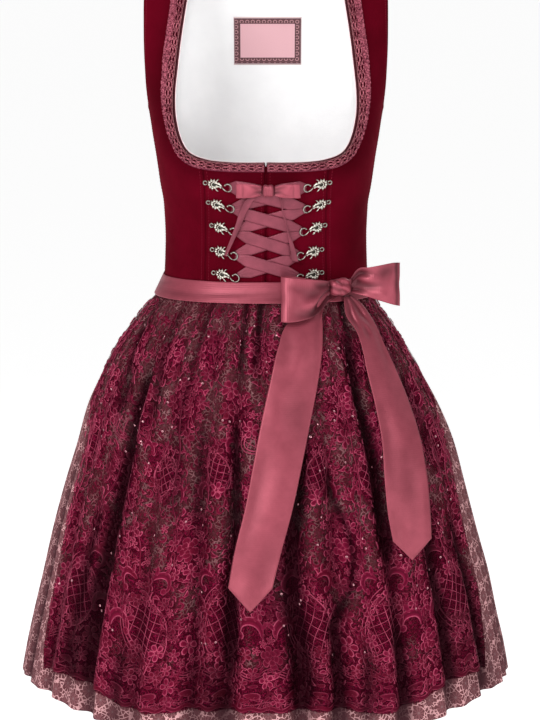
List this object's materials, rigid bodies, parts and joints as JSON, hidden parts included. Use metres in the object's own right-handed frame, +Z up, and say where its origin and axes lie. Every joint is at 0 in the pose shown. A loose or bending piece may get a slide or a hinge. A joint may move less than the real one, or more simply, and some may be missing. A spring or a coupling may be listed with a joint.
{
  "type": "dirndl",
  "caption": "Sleeveless laced velvet dirndl with a square neckline, gathered skirt, lace apron and satin ribbon bow, in its hollow worn shape.",
  "frame": {"origin": "midway between the two shoulder seams, at their height, where the wearer's shoulders hold the dress", "axes": "+X to the wearer's left, +Y to the wearer's back (the front faces -Y), +Z up"},
  "size_m": [0.5682, 0.4471, 0.8534],
  "materials": {
    "velvet": "burgundy cotton velvet, short nap",
    "lining": "white cotton lining",
    "label": "woven rose label, plain",
    "braid": "dusty rose chenille and braid trim",
    "piping": "dark red cord piping",
    "silver": "antique silver cast metal",
    "satin": "dusty rose satin ribbon",
    "lace": "raspberry embroidered net with sequins",
    "print": "greyish mauve printed cotton"
  },
  "bodies": {
    "root": {"bodice_front_centre_right": "velvet", "bodice_front_centre_left": "velvet", "bodice_front_side_right": "velvet", "bodice_front_side_left": "velvet", "bodice_back_centre_right": "velvet", "bodice_back_centre_left": "velvet", "bodice_back_side_right": "velvet", "bodice_back_side_left": "velvet", "lining_back": "lining", "label": "label", "neck_trim_front_right": "braid", "neck_trim_front_left": "braid", "neck_trim_back_right": "braid", "neck_trim_back_left": "braid", "neck_piping_front_right": "piping", "neck_piping_front_left": "piping", "neck_piping_back_right": "piping", "neck_piping_back_left": "piping", "hook_right_1": "silver", "hook_right_2": "silver", "hook_right_3": "silver", "hook_right_4": "silver", "hook_right_5": "silver", "hook_left_1": "silver", "hook_left_2": "silver", "hook_left_3": "silver", "hook_left_4": "silver", "hook_left_5": "silver", "lacing_over_1": "satin", "lacing_over_2": "satin", "lacing_over_3": "satin", "lacing_over_4": "satin", "lacing_under_1": "satin", "lacing_under_2": "satin", "lacing_under_3": "satin", "lacing_under_4": "satin", "lacing_top_right": "satin", "lacing_top_left": "satin", "lace_loop_right": "satin", "lace_loop_left": "satin", "lace_knot": "satin", "lace_tail_right": "satin", "lace_tail_left": "satin", "waist_ribbon_front": "satin", "waist_ribbon_back": "satin", "skirt_front": "print", "skirt_back": "print", "apron": "lace", "bow_loop_right": "satin", "bow_loop_left": "satin", "bow_tail_right": "satin", "bow_tail_left": "satin", "bow_knot": "satin"}
  },
  "joints": []
}
